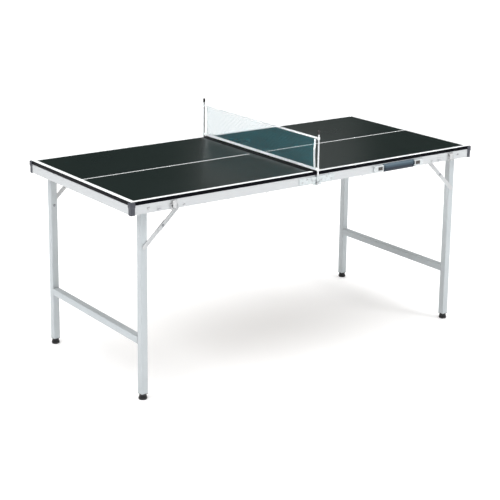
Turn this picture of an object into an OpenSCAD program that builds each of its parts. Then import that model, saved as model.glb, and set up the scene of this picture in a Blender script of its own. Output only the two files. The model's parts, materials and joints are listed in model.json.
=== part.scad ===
// Folding ping pong table: two half tops hinged at the middle, two folding leg frames,
// a clip-in net and a carry handle. Millimetres, +Z up, +X along the table.
// The origin is on the floor under the middle of the table.

/* [Table top] */
// Length of the playing surface over both halves
table_l = 1500; // [1400:10:1600]
// Width of the playing surface
table_w = 690; // [660:10:760]
// Height of the playing surface above the floor
table_h = 690; // [670:5:760]
// Thickness of each board
board_t = 12; // [9:1:12]
// Height of the black edge band
band_h = 12; // [12:1:18]
// Thickness of the edge band
band_t = 3; // [2:0.5:4]
// Gap between the two halves at the joint
joint_gap = 1.5; // [1:0.5:3]

/* [Rails] */
// Height of the aluminium rail below the edge band
rail_h = 31; // [31:1:36]
// Wall of the rail
rail_t = 1.5; // [1.2:0.1:2]
// Depth of the rail's top flange
rail_top_flange = 16; // [12:1:18]
// Depth of the rail's bottom flange
rail_bottom_flange = 8; // [5:1:12]
// How far the bead along the rail's top edge stands proud
bead_out = 0.8; // [0.4:0.1:1]
// Length of a corner cap's arms
cap_arm = 14; // [12:1:24]
// How far a corner cap bulges at the height of the edge band
cap_bulge = 4; // [3:0.5:6]

/* [Legs] */
// Side of the square leg tube
tube = 25; // [20:1:25]
// Wall of the leg tube
tube_t = 1.5; // [1:0.1:2]
// Distance from the table's end to the centre of a leg
leg_from_end = 64; // [60:1:80]
// Distance from the table's long edge to the centre of a leg
leg_from_side = 40; // [40:1:50]
// Height of the crossbar's centre above the floor
crossbar_z = 203; // [150:1:300]
// Height of the plastic foot below the tube
foot_h = 21; // [18:1:26]
// Largest radius of the round foot
foot_r = 15; // [13:0.5:15]

/* [Braces] */
// Distance from the leg pivot to each end of the brace
brace_reach = 136; // [130:1:160]
// Width of a brace link
link_w = 15; // [12:1:18]
// Thickness of a brace link
link_t = 2.5; // [2:0.1:2.5]
// How far each link runs on past the knee
link_lap = 14; // [8:1:16]

/* [Net] */
// Height of the net's top edge above the playing surface
net_top = 122; // [110:1:152]
// Height of the net's bottom edge above the playing surface
net_bottom = 2; // [2:0.5:6]
// Width of the white tapes
tape_w = 10; // [8:1:14]
// Radius of a net post
post_r = 3.5; // [3:0.1:3.6]
// Distance from the middle of the table to a net post
post_y = 351; // [351:0.5:352]
// How deep a post sits in its socket
socket_depth = 19; // [14:1:20]

/* [Handle and latches] */
// Distance from the joint to the middle of the carry handle
handle_x = 380; // [330:5:400]
// Half the length of the grip
grip_half = 74.5; // [65:0.5:80]
// Height of the grip
grip_h = 31; // [22:1:31]
// Distance from the joint to the latch on the left half and its catch on the right half
latch_x = 590; // [570:5:600]
// Distance from the joint to the latch on the right half and its catch on the left half
latch_x2 = 645; // [640:5:650]

/* [Hidden] */
$fn = 48;
eps = 0.01;
half_l = table_l / 2;
half_w = table_w / 2;
in_x = joint_gap / 2;
band_z = table_h - band_h;
fold_z = band_z - rail_h;
run = 0.05;

// Leg pivots, with the leg upright
leg_x = half_l - leg_from_end;
leg_y = half_w - leg_from_side;
leg_z = fold_z + 15;
leg_top = leg_z + 9;
leg_out = leg_y + tube / 2;
leg_in = leg_y - tube / 2;
bolt_r = 3;
bolt_head_r = 5.5;
spacer_r = 5;

// Brace: its rail pivot, its leg pivot and the knee halfway between them
rail_pivot = [leg_x - brace_reach, fold_z + 7];
leg_pivot = [leg_x, leg_z - brace_reach];
knee = (rail_pivot + leg_pivot) / 2;
lower_y = leg_out + 0.6;
upper_y = lower_y + link_t + 0.4;
rail_in = half_w - rail_t;

// Screws up through the rails' bottom flanges, measured from the joint and from the middle
screw_r = 1.6;
screw_head_r = 3.2;
screw_head_h = 2.6;
screw_in = 4;
left_screws = [213, 371, 468, 665];
right_screws = [213, 525, 665];
end_screw_y = 300;

// Middle hinge
leaf_t = 2;
leaf_y = half_w + 0.4;
leaf_x1 = 8;
leaf_x2 = 78;
eye_r = 7;
pin_r = 3.5;
leaf_rivets = [[44, 20], [64, 10], [20, 12]];

// Net
net_z1 = table_h + net_bottom;
net_z2 = table_h + net_top;
post_z1 = band_z - socket_depth;
post_z2 = net_z2 + 16;
side_tape_y = post_y - post_r - 10 - tape_w / 2;
tape_t = 1.6;
mesh_t = 0.8;
socket_r = 5;

// Carry handle, about the point handle_x on the front rail's outer face
cap_x1 = grip_half + 2;
cap_x2 = cap_x1 + 42;
handle_z = fold_z + 16;
strap_y = half_w + 4.5;
strap_t = 3.6;
strap_h = 12;
cavity_in = half_w + 0.8;
cavity_out = half_w + 7.4;
grip_in = half_w + 1;
grip_out = half_w + 10.5;

// Draw latches
latch_w = 24;
latch_top = fold_z + 26;
latch_pin_y = half_w + 4.5;
latch_pin_r = 1.25;
loop_pivot_z = latch_top - 8.5;
loop_w = 26;
loop_bottom = fold_z - 0.5;
wire_r = 1.2;

// ---- Helpers: every half is drawn as the left one, and every side as the front one ----

module right_half() { mirror([1, 0, 0]) children(); }

module back_side() { mirror([0, 1, 0]) children(); }

module both_sides() {
    children();
    back_side() children();
}

// A cylinder along Y from y1 to y2, at x and z
module y_rod(x, z, y1, y2, r) {
    translate([x, y1, z]) rotate([-90, 0, 0]) cylinder(r = r, h = y2 - y1);
}

// A cylinder along X from x1 to x2, at y and z
module x_rod(x1, x2, y, z, r) {
    translate([x1, y, z]) rotate([0, 90, 0]) cylinder(r = r, h = x2 - x1);
}

// A cylinder along Z
module z_rod(x, y, z1, z2, r) {
    translate([x, y, z1]) cylinder(r = r, h = z2 - z1);
}

// A box given by its two corners
module block(a, b) { translate(a) cube(b - a); }

// ---- Half tops ----

module board() {
    color([0.16, 0.19, 0.18])
        block([-half_l + band_t, -half_w + band_t, table_h - board_t],
              [-in_x - band_t, half_w - band_t, table_h]);
}

module edge_band() {
    color([0.05, 0.05, 0.06]) difference() {
        block([-half_l, -half_w, band_z], [-in_x, half_w, table_h]);
        block([-half_l + band_t, -half_w + band_t, band_z - 1],
              [-in_x - band_t, half_w - band_t, table_h + 1]);
    }
}

// Rail web section, with x as the depth from the outer face and y as the height
module web_section() { square([rail_t, rail_h]); }

module bead_section() { translate([-bead_out, rail_h - 2.5]) square([bead_out + eps, 2.5]); }

module flange_section(top, bottom) {
    translate([0, rail_h - rail_t]) square([top, rail_t]);
    square([bottom, rail_t]);
}

module along_x(x1, x2) {
    translate([x1, -half_w, fold_z]) rotate([90, 0, 90]) linear_extrude(x2 - x1) children();
}

module along_y(x, length) {
    translate([x, length / 2, fold_z]) rotate([90, 0, 0]) linear_extrude(length) children();
}

// The long rail of the front side, with its screw and pivot holes
module side_rail(screws) {
    color([0.84, 0.86, 0.87]) difference() {
        union() {
            along_x(-half_l, -in_x) web_section();
            along_x(-half_l + rail_t, -in_x - rail_t)
                flange_section(rail_top_flange, rail_bottom_flange);
            along_x(-half_l + cap_arm + 1, -leaf_x1 - 4) bead_section();
        }
        for (x = screws) screw_shank(x, half_w - screw_in, -1, screw_r + run);
        y_rod(-leg_x, leg_z, -half_w - 1, -rail_in + 1, bolt_r + run);
        y_rod(-rail_pivot[0], rail_pivot[1], -half_w - 1, -rail_in + 1, bolt_r + run);
    }
}

module end_rail() {
    flange_l = table_w - 2 * rail_top_flange - 0.4;
    color([0.84, 0.86, 0.87]) difference() {
        union() {
            along_y(-half_l, table_w - 2 * rail_t) web_section();
            along_y(-half_l, table_w - 2 * cap_arm - 2) bead_section();
            along_y(-half_l, flange_l) flange_section(rail_top_flange, rail_bottom_flange);
        }
        both_sides() screw_shank(half_l - screw_in, end_screw_y, -1, screw_r + run);
    }
}

module centre_rail() {
    flange_l = table_w - 2 * rail_top_flange - 0.4;
    color([0.84, 0.86, 0.87]) translate([-in_x, 0, 0]) mirror([1, 0, 0]) {
        along_y(0, table_w - 2 * rail_t) web_section();
        along_y(0, flange_l) flange_section(12, 8);
    }
}

// Plan of a corner cap standing "out" proud of the band and rails
module cap_outline(out) {
    r = out + 2;
    translate([-out + r, -out]) square([cap_arm + out - r, cap_arm + out]);
    translate([-out, -out + r]) square([cap_arm + out, cap_arm + out - r]);
    translate([-out + r, -out + r]) circle(r);
}

module cap_level(out, z1, z2) {
    translate([0, 0, z1]) linear_extrude(z2 - z1) difference() {
        cap_outline(out);
        square([cap_arm + 1, cap_arm + 1]);
    }
}

module corner_cap() {
    thin = 1.8;
    translate([-half_l, -half_w, 0]) {
        translate([0, 0, fold_z - 1.2]) linear_extrude(1.2) cap_outline(thin);
        cap_level(thin, fold_z - eps, table_h - 1);
        cap_level((thin + cap_bulge) / 2, band_z - 8, table_h - 2);
        cap_level(cap_bulge, band_z - 5, table_h - 4);
    }
}

module corner_caps() { color([0.27, 0.28, 0.32]) both_sides() corner_cap(); }

// A screw's shank from "start" above the rail's bottom edge to 6 mm above it
module screw_shank(x, y, start, r) { z_rod(-x, -y, fold_z + start, fold_z + 6, r); }

module screw(x, y) {
    z_rod(-x, -y, fold_z - screw_head_h, fold_z, screw_head_r);
    screw_shank(x, y, -eps, screw_r);
}

module rail_screws(screws) {
    color([0.6, 0.61, 0.62]) both_sides() {
        for (x = screws) screw(x, half_w - screw_in);
        screw(half_l - screw_in, end_screw_y);
    }
}

// ---- Middle hinge ----

module leaf_plate() {
    block([-leaf_x2, -leaf_y - leaf_t, fold_z + 3], [-leaf_x1, -half_w, fold_z + 27]);
}

module leaf_holes() {
    for (p = leaf_rivets)
        y_rod(-p[0], fold_z + p[1], -leaf_y - 4, -leaf_y + 4, screw_r + run);
}

// The left leaf carries the eye next to the rail
module left_leaf() {
    difference() {
        union() {
            leaf_plate();
            block([-leaf_x1 - 8, -leaf_y - leaf_t, fold_z - 4], [-4, -leaf_y, fold_z + 10]);
            y_rod(0, fold_z, -leaf_y - leaf_t, -leaf_y, eye_r);
        }
        leaf_holes();
        y_rod(0, fold_z, -leaf_y - 4, -leaf_y + 4, pin_r + run);
    }
}

// The right leaf steps outward, so that its eye passes over the left one
module right_leaf() {
    outer_y = leaf_y + leaf_t + 0.4;
    difference() {
        union() {
            leaf_plate();
            block([-leaf_x1 - 8, -outer_y - leaf_t, fold_z + 3],
                  [-leaf_x1 - 3, -leaf_y, fold_z + 10]);
            block([-leaf_x1 - 8, -outer_y - leaf_t, fold_z - 4], [-3, -outer_y, fold_z + 6]);
            y_rod(0, fold_z, -outer_y - leaf_t, -outer_y, eye_r);
        }
        leaf_holes();
        y_rod(0, fold_z, -outer_y - 4, -outer_y + 4, pin_r + run);
    }
}

module hinge_leaves(right) {
    color([0.8, 0.82, 0.83]) both_sides() {
        if (right) right_leaf();
        else left_leaf();
    }
}

module hinge_rivets() {
    color([0.62, 0.63, 0.64]) both_sides() for (p = leaf_rivets) {
        y_rod(-p[0], fold_z + p[1], -leaf_y - leaf_t - 1.4, -leaf_y - leaf_t, 3.4);
        y_rod(-p[0], fold_z + p[1], -leaf_y - leaf_t - eps, -half_w, screw_r);
    }
}

module hinge_pins() {
    outer = leaf_y + 2 * leaf_t + 0.8;
    color([0.55, 0.56, 0.58]) both_sides() {
        y_rod(0, fold_z, -outer, -leaf_y, pin_r);
        y_rod(0, fold_z, -outer - 2, -outer, 5.5);
    }
}

// ---- Leg frames, drawn upright ----

module leg() {
    color([0.8, 0.82, 0.84]) difference() {
        block([-leg_x - tube / 2, -leg_out, foot_h], [-leg_x + tube / 2, -leg_in, leg_top]);
        block([-leg_x - tube / 2 + tube_t, -leg_out + tube_t, foot_h - 1],
              [-leg_x + tube / 2 - tube_t, -leg_in - tube_t, leg_top + 1]);
        y_rod(-leg_x, leg_z, -leg_out - 1, -leg_in + 1, bolt_r + run);
        y_rod(-leg_x, leg_pivot[1], -leg_out - 1, -leg_in + 1, bolt_r + run);
    }
}

module crossbar() {
    color([0.8, 0.82, 0.84]) difference() {
        block([-leg_x - tube / 2, -leg_in, crossbar_z - tube / 2],
              [-leg_x + tube / 2, leg_in, crossbar_z + tube / 2]);
        block([-leg_x - tube / 2 + tube_t, -leg_in - 1, crossbar_z - tube / 2 + tube_t],
              [-leg_x + tube / 2 - tube_t, leg_in + 1, crossbar_z + tube / 2 - tube_t]);
    }
}

// A plug in the tube, a thin square flange and a round foot that flares below its neck
module foot() {
    plug = tube - 2 * tube_t - 0.2;
    flange_h = 1.5;
    translate([-leg_x, -leg_y, 0]) {
        rotate_extrude() polygon([
            [0, 0], [foot_r - 3, 0], [foot_r - 0.8, 1.6], [foot_r, 4.5],
            [foot_r - 0.6, 8], [foot_r - 3, foot_h - 5], [foot_r - 3, foot_h - flange_h],
            [0, foot_h - flange_h]
        ]);
        translate([-tube / 2, -tube / 2, foot_h - flange_h]) cube([tube, tube, flange_h]);
        translate([-plug / 2, -plug / 2, foot_h]) cube([plug, plug, 22]);
    }
}

module feet() { color([0.1, 0.1, 0.11]) both_sides() foot(); }

module brace_studs() {
    color([0.6, 0.61, 0.62]) both_sides() {
        y_rod(-leg_x, leg_pivot[1], -lower_y - link_t, -leg_in, bolt_r);
        y_rod(-leg_x, leg_pivot[1], -leg_in, -leg_in + 2, 5);
    }
}

// ---- Pivots on the rail ----

module pivot_bolts() {
    color([0.6, 0.61, 0.62]) both_sides() {
        y_rod(-leg_x, leg_z, -half_w, -leg_in + 6, bolt_r);
        y_rod(-leg_x, leg_z, -half_w - 2.2, -half_w, bolt_head_r);
        y_rod(-leg_x, leg_z, -leg_in + 0.4, -leg_in + 5, bolt_head_r);
        y_rod(-rail_pivot[0], rail_pivot[1], -half_w, -upper_y, bolt_r);
        y_rod(-rail_pivot[0], rail_pivot[1], -half_w - 1.8, -half_w, 4.5);
    }
}

module spacer(x, z, y) {
    difference() {
        y_rod(x, z, -rail_in, -y, spacer_r);
        y_rod(x, z, -rail_in - 1, -y + 1, bolt_r + run);
    }
}

module pivot_spacers() {
    color([0.7, 0.71, 0.72]) both_sides() {
        spacer(-leg_x, leg_z, leg_out + 0.4);
        spacer(-rail_pivot[0], rail_pivot[1], upper_y + link_t + 0.4);
    }
}

// ---- Braces ----

// A flat link from point a to beyond point b, both [distance from the joint, height]
module link(a, b, y) {
    d = b - a;
    length = norm(d) + link_lap;
    translate([-a[0], -y - link_t, a[1]])
        rotate([0, atan2(-d[1], -d[0]), 0]) difference() {
            union() {
                block([0, 0, -link_w / 2], [length, link_t, link_w / 2]);
                y_rod(0, 0, 0, link_t, link_w / 2);
                y_rod(length, 0, 0, link_t, link_w / 2);
            }
            y_rod(0, 0, -1, link_t + 1, bolt_r + run);
        }
}

module upper_braces() {
    color([0.82, 0.84, 0.85]) both_sides() difference() {
        link(rail_pivot, knee, upper_y);
        y_rod(-knee[0], knee[1], -upper_y - link_t - 1, -upper_y + 1, 2.5 + run);
    }
}

module lower_braces() { color([0.82, 0.84, 0.85]) both_sides() link(leg_pivot, knee, lower_y); }

module knee_rivets() {
    color([0.6, 0.61, 0.62]) both_sides() {
        y_rod(-knee[0], knee[1], -upper_y - link_t, -upper_y, 2.5);
        y_rod(-knee[0], knee[1], -upper_y - link_t - 1.6, -upper_y - link_t, 5);
    }
}

// ---- Net ----

// A flat tape round both posts at height z
module tape(z) {
    both_sides() difference() {
        union() {
            block([-tape_t / 2, -post_y + post_r + 1, z], [tape_t / 2, 0, z + tape_w]);
            z_rod(0, -post_y, z, z + tape_w, post_r + 1.4);
        }
        z_rod(0, -post_y, z - 1, z + tape_w + 1, post_r + run);
    }
}

module net_top_tape() { color([0.95, 0.97, 0.97]) tape(net_z2 - tape_w); }

module net_bottom_tape() { color([0.95, 0.97, 0.97]) tape(net_z1); }

module net_side_tapes() {
    color([0.95, 0.97, 0.97]) both_sides()
        block([-tape_t / 2, -side_tape_y - tape_w / 2, net_z1 + tape_w],
              [tape_t / 2, -side_tape_y + tape_w / 2, net_z2 - tape_w]);
}

module net_mesh() {
    inner = side_tape_y - tape_w / 2;
    color([0.4, 0.66, 0.75, 0.6])
        block([-mesh_t / 2, -inner, net_z1 + tape_w], [mesh_t / 2, inner, net_z2 - tape_w]);
}

module net_posts() {
    color([0.8, 0.82, 0.83]) both_sides() z_rod(0, -post_y, post_z1, post_z2, post_r);
}

module net_post_caps() {
    color([0.05, 0.05, 0.05]) both_sides() difference() {
        union() {
            z_rod(0, -post_y, post_z2 - 6, post_z2 + 7, post_r + 1);
            z_rod(0, -post_y, post_z2 + 7 - eps, post_z2 + 10, post_r);
        }
        z_rod(0, -post_y, post_z2 - 7, post_z2, post_r + run);
    }
}

// A ring with a stop at its foot, held by a tab on the left hinge leaf
module net_sockets() {
    tab_y = leaf_y + leaf_t;
    color([0.78, 0.8, 0.81]) both_sides() difference() {
        union() {
            z_rod(0, -post_y, post_z1 - 2, band_z, socket_r);
            block([-26, -tab_y - 2, band_z - 17], [-3, -tab_y, band_z - 5]);
        }
        z_rod(0, -post_y, post_z1, band_z + 1, post_r + run);
        y_rod(-leaf_rivets[2][0], fold_z + leaf_rivets[2][1], -tab_y - 3, -tab_y + 1, 3.6);
    }
}

// ---- Carry handle on the right half, drawn on the left one and mirrored ----

// One end of the handle lies towards the joint (side = 1), the other away from it (side = -1)
module on_handle(side) { translate([-handle_x, 0, handle_z]) scale([side, 1, 1]) children(); }

// End cap: a chamber for the strap's head, its narrower mouth and a shallow square recess
module handle_end_cap() {
    mouth_h = strap_h + 0.8;
    difference() {
        block([cap_x1, -half_w - 10, -13], [cap_x2, -half_w, 11]);
        block([cap_x1 + 1.5, -cavity_out, -8], [cap_x1 + 14, -cavity_in, 8]);
        block([cap_x1 - 1, -cavity_out, -mouth_h / 2], [cap_x1 + 2, -cavity_in, mouth_h / 2]);
        block([cap_x1 + 4.5, -half_w - 11, -6.5], [cap_x1 + 25.5, -half_w - 8.4, 6.5]);
    }
}

module handle_end_caps() {
    color([0.85, 0.86, 0.87]) for (side = [-1, 1]) on_handle(side) handle_end_cap();
}

// Half of the grip, from "start" off the middle, with its strap and the strap's head
module grip_half_solid(start, head) {
    block([start, -grip_out + 1.5, -grip_h / 2], [grip_half, -grip_in, grip_h / 2]);
    block([start, -grip_out, -grip_h / 2 + 4], [grip_half - 4, -grip_in, grip_h / 2 - 4]);
    block([grip_half - eps, -strap_y - strap_t / 2, -strap_h / 2],
          [head + 3, -strap_y + strap_t / 2, strap_h / 2]);
    block([head, -strap_y - strap_t / 2, -7.4], [head + 3.5, -strap_y + strap_t / 2, 7.4]);
}

module grip_left_half() {
    color([0.3, 0.35, 0.4]) on_handle(1) grip_half_solid(0, cap_x1 + 3);
}

module grip_right_half() {
    color([0.3, 0.35, 0.4]) on_handle(-1) grip_half_solid(0.2, cap_x1 + 6);
}

// ---- Draw latches and their catches ----

// Base plate with two ears and the lever's pin
module latch_base(x) {
    color([0.75, 0.76, 0.78]) translate([-x, 0, 0]) {
        block([-latch_w / 2, -half_w - 1.5, fold_z + 3], [latch_w / 2, -half_w, latch_top + 2]);
        for (side = [-1, 1]) translate([side * 8.25, 0, latch_top])
            block([-0.75, -latch_pin_y - 2.5, -4], [0.75, -half_w - 1.5 + eps, 2]);
        x_rod(-9.8, 9.8, -latch_pin_y, latch_top, latch_pin_r);
    }
}

// Lever: two barrels joined by a plate, with a turned-out finger lip
module latch_lever(x) {
    w = 7.2;
    barrel_r = 2.4;
    lip_z = latch_top - 21;
    color([0.88, 0.89, 0.9]) translate([-x, -latch_pin_y, 0]) difference() {
        union() {
            x_rod(-w, w, 0, latch_top, barrel_r);
            x_rod(-w, w, 0, loop_pivot_z, barrel_r);
            block([-w, -barrel_r, lip_z], [w, -0.9, latch_top]);
            block([-w, -barrel_r, loop_pivot_z - barrel_r], [w, 0, loop_pivot_z + barrel_r]);
            block([-w, -barrel_r - 1.8, lip_z - 1.5], [w, -0.9, lip_z + eps]);
        }
        x_rod(-w - 1, w + 1, 0, latch_top, latch_pin_r + run);
        x_rod(-w - 1, w + 1, 0, loop_pivot_z, wire_r + run);
    }
}

// Closed wire loop, hanging from the lever's lower barrel
module latch_loop(x) {
    z2 = loop_pivot_z;
    color([0.8, 0.81, 0.82]) translate([-x, -latch_pin_y, 0]) {
        x_rod(-loop_w / 2, loop_w / 2, 0, z2, wire_r);
        x_rod(-loop_w / 2, loop_w / 2, 0, loop_bottom, wire_r);
        for (side = [-1, 1]) {
            z_rod(side * loop_w / 2, 0, loop_bottom, z2, wire_r);
            for (z = [loop_bottom, z2]) translate([side * loop_w / 2, 0, z]) sphere(wire_r);
        }
    }
}

// Hooked catch for the other half's loop
module latch_catch(x) {
    color([0.75, 0.76, 0.78]) translate([-x, 0, 0]) {
        block([-8, -half_w - 1.5, fold_z + 1], [8, -half_w, fold_z + 17]);
        block([-6, -half_w - 5.5, fold_z + 4], [6, -half_w - 1.5 + eps, fold_z + 5.8]);
        block([-6, -half_w - 5.5, fold_z + 4], [6, -half_w - 4, fold_z + 9]);
    }
}

// ---- Nodes ----

board();  // left_board
edge_band();  // left_edge_band
side_rail(left_screws);  // left_front_rail
back_side() side_rail(left_screws);  // left_back_rail
end_rail();  // left_end_rail
centre_rail();  // left_centre_rail
corner_caps();  // left_corner_caps
rail_screws(left_screws);  // left_rail_screws
hinge_leaves(false);  // left_hinge_leaves
hinge_rivets();  // left_hinge_rivets
hinge_pins();
net_sockets();
pivot_bolts();  // left_pivot_bolts
pivot_spacers();  // left_pivot_spacers
latch_base(latch_x);  // left_latch_base
latch_catch(latch_x2);  // left_latch_catch

right_half() board();  // right_board
right_half() edge_band();  // right_edge_band
right_half() side_rail(right_screws);  // right_front_rail
right_half() back_side() side_rail(right_screws);  // right_back_rail
right_half() end_rail();  // right_end_rail
right_half() centre_rail();  // right_centre_rail
right_half() corner_caps();  // right_corner_caps
right_half() rail_screws(right_screws);  // right_rail_screws
right_half() hinge_leaves(true);  // right_hinge_leaves
right_half() hinge_rivets();  // right_hinge_rivets
right_half() pivot_bolts();  // right_pivot_bolts
right_half() pivot_spacers();  // right_pivot_spacers
right_half() latch_base(latch_x2);  // right_latch_base
right_half() latch_catch(latch_x);  // right_latch_catch
right_half() handle_end_caps();
right_half() grip_left_half();
right_half() grip_right_half();

leg();  // left_front_leg
back_side() leg();  // left_back_leg
crossbar();  // left_crossbar
feet();  // left_feet
brace_studs();  // left_brace_studs
right_half() leg();  // right_front_leg
right_half() back_side() leg();  // right_back_leg
right_half() crossbar();  // right_crossbar
right_half() feet();  // right_feet
right_half() brace_studs();  // right_brace_studs

upper_braces();  // left_upper_braces
lower_braces();  // left_lower_braces
knee_rivets();  // left_knee_rivets
right_half() upper_braces();  // right_upper_braces
right_half() lower_braces();  // right_lower_braces
right_half() knee_rivets();  // right_knee_rivets

net_mesh();
net_top_tape();
net_bottom_tape();
net_side_tapes();
net_posts();
net_post_caps();

latch_lever(latch_x);  // left_latch_lever
latch_loop(latch_x);  // left_latch_loop
right_half() latch_lever(latch_x2);  // right_latch_lever
right_half() latch_loop(latch_x2);  // right_latch_loop
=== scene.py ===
import math
import random

import bmesh
import bpy
from mathutils import Matrix, Vector
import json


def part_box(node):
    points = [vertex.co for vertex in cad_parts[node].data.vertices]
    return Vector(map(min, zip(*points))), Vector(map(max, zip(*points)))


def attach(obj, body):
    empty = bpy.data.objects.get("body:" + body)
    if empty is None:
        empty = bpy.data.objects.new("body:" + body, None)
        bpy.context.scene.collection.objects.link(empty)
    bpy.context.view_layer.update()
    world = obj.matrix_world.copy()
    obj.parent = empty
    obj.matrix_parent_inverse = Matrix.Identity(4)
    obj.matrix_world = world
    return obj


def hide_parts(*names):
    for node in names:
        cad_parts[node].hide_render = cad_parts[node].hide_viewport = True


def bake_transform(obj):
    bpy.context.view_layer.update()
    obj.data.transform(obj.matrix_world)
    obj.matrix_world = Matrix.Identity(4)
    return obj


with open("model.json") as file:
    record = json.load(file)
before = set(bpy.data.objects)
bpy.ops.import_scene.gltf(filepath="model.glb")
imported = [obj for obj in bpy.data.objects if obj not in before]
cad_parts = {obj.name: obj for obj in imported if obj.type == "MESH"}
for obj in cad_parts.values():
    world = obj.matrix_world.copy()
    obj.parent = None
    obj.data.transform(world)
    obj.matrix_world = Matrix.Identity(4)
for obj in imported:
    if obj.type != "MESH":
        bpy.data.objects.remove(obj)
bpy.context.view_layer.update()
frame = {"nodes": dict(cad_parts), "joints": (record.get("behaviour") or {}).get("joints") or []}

# Measures, nearly all from the frame, in metres. Every half is drawn as the left
# one and every side as the front one, and then mirrored.

MM = 0.001
HALVES = {"left": 1, "right": -1}
SIDES = {"front": 1, "back": -1}

band_low, band_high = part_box("left_edge_band")
END_X, JOINT_X = band_low.x, band_high.x
FRONT_Y = band_low.y
BAND_Z, TOP_Z = band_low.z, band_high.z
FOLD_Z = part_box("left_front_rail")[0].z
board_low, board_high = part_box("left_board")
BAND_T = board_low.x - END_X

leg_low, leg_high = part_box("left_front_leg")
LEG_X = (leg_low.x + leg_high.x) / 2
LEG_Y = (leg_low.y + leg_high.y) / 2
TUBE = leg_high.x - leg_low.x
TUBE_WALL = 1.5 * MM
CROSSBAR_Z = (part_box("left_crossbar")[0].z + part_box("left_crossbar")[1].z) / 2

post_low, post_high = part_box("net_posts")
POST_R = (post_high.x - post_low.x) / 2
POST_Y = post_low.y + POST_R
net_low, net_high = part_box("net_mesh")
TAPE_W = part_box("net_bottom_tape")[1].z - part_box("net_bottom_tape")[0].z

JOINTS = {joint["name"]: joint for joint in frame["joints"]}


def pivot(joint):
    """Where a joint's axis lies, in the row frame."""
    return Vector(JOINTS[joint]["pos_m"])


BRACE_TOP = pivot("left_upper_brace_turn").xz
BRACE_FOOT = pivot("left_lower_brace_turn").xz
KNEE = (BRACE_TOP + BRACE_FOOT) / 2
KNEE_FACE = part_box("left_upper_braces")[0].y
GRIP_X = pivot("grip_flex").x
GRIP_Z = pivot("grip_flex").z - 0.8 * MM


# Shapes

PLACED = {
    "x": lambda u, v, t: (t, u, v),
    "y": lambda u, v, t: (u, t, v),
    "z": lambda u, v, t: (u, v, t),
}


def rounded(corners, radius, steps=4):
    """An outline whose corners are arcs. radius is one number, or one for each corner."""
    radii = radius if hasattr(radius, "__len__") else [radius] * len(corners)
    points = [Vector(corner) for corner in corners]
    outline = []
    for i, (corner, r) in enumerate(zip(points, radii)):
        if r <= 0:
            outline.append(corner)
            continue
        to_last = (points[i - 1] - corner).normalized()
        to_next = (points[(i + 1) % len(points)] - corner).normalized()
        half = to_last.angle(to_next) / 2
        centre = corner + (to_last + to_next).normalized() * r / math.sin(half)
        first = corner + to_last * r / math.tan(half) - centre
        last = corner + to_next * r / math.tan(half) - centre
        turn = first.angle_signed(last)
        for k in range(steps + 1):
            arm = first.copy()
            arm.rotate(Matrix.Rotation(-turn * k / steps, 2))
            outline.append(centre + arm)
    return outline


def circle(centre, radius, steps=32):
    u, v = centre
    return [
        Vector((u + radius * math.cos(a), v + radius * math.sin(a)))
        for a in (2 * math.pi * k / steps for k in range(steps))
    ]


def rectangle(low, high):
    return [(low[0], low[1]), (high[0], low[1]), (high[0], high[1]), (low[0], high[1])]


def is_clockwise(outline):
    pairs = zip(outline, outline[1:] + outline[:1])
    return sum(a[0] * b[1] - b[0] * a[1] for a, b in pairs) < 0


def shrunk(outline, by):
    """The outline moved inwards by a small distance."""
    inward = -1 if is_clockwise(outline) else 1
    moved = []
    for i, point in enumerate(outline):
        last = (point - outline[i - 1]).normalized()
        following = (outline[(i + 1) % len(outline)] - point).normalized()
        normal = Vector((-(last + following).y, (last + following).x)).normalized()
        spread = max(0.4, normal.dot(Vector((-last.y, last.x))))
        moved.append(point + normal * inward * by / spread)
    return moved


def loft(bm, rings, capped=True, closed=False):
    """Faces between rings that have the same number of points."""
    made = [[bm.verts.new(point) for point in ring] for ring in rings]
    pairs = list(zip(made, made[1:]))
    if closed:
        pairs.append((made[-1], made[0]))
    for low, high in pairs:
        for i in range(len(low)):
            j = (i + 1) % len(low)
            bm.faces.new((low[i], low[j], high[j], high[i]))
    if capped and not closed:
        bm.faces.new(made[0])
        bm.faces.new(made[-1])


def edge_levels(low, high, edge):
    """Heights and insets that round both ends of an extrusion."""
    steps = 3
    arc = [math.pi / 2 * k / steps for k in range(steps + 1)]
    start = [(low + edge * (1 - math.sin(a)), edge * (1 - math.cos(a))) for a in reversed(arc)]
    return start + [(high + low - t, inset) for t, inset in reversed(start)]


def end_rings(outline, low, high, axis, edge):
    """The rings of an outline extruded along an axis, with rounded end edges."""
    put = PLACED[axis]
    return [
        [put(p.x, p.y, t) for p in (shrunk(outline, inset) if inset > 0 else outline)]
        for t, inset in edge_levels(low, high, edge)
    ]


def prism(bm, outline, low, high, axis="z", edge=0.3 * MM):
    """A solid between low and high along an axis."""
    loft(bm, end_rings([Vector(point) for point in outline], low, high, axis, edge))


def lathe(bm, profile, centre, axis="z", steps=32):
    """A turned solid. profile is (place along the axis, radius), and its ends lie near the axis."""
    put = PLACED[axis]
    loft(bm, [
        [put(p.x, p.y, t) for p in circle(centre, max(radius, 0.01 * MM), steps)]
        for t, radius in profile
    ])


def sweep(bm, path, radius, sides, closed=False, capped=True):
    """A round wire along a path of points."""
    path = [Vector(point) for point in path]
    rings = []
    across = None
    for i, point in enumerate(path):
        before = path[i - 1] if closed or i else point
        after = path[(i + 1) % len(path)] if closed or i + 1 < len(path) else point
        along = (after - before).normalized()
        across = across or along.orthogonal()
        across = (across - along * across.dot(along)).normalized()
        up = along.cross(across)
        rings.append([
            point + (across * math.cos(a) + up * math.sin(a)) * radius
            for a in (2 * math.pi * k / sides for k in range(sides))
        ])
    loft(bm, rings, capped=capped, closed=closed)


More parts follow.
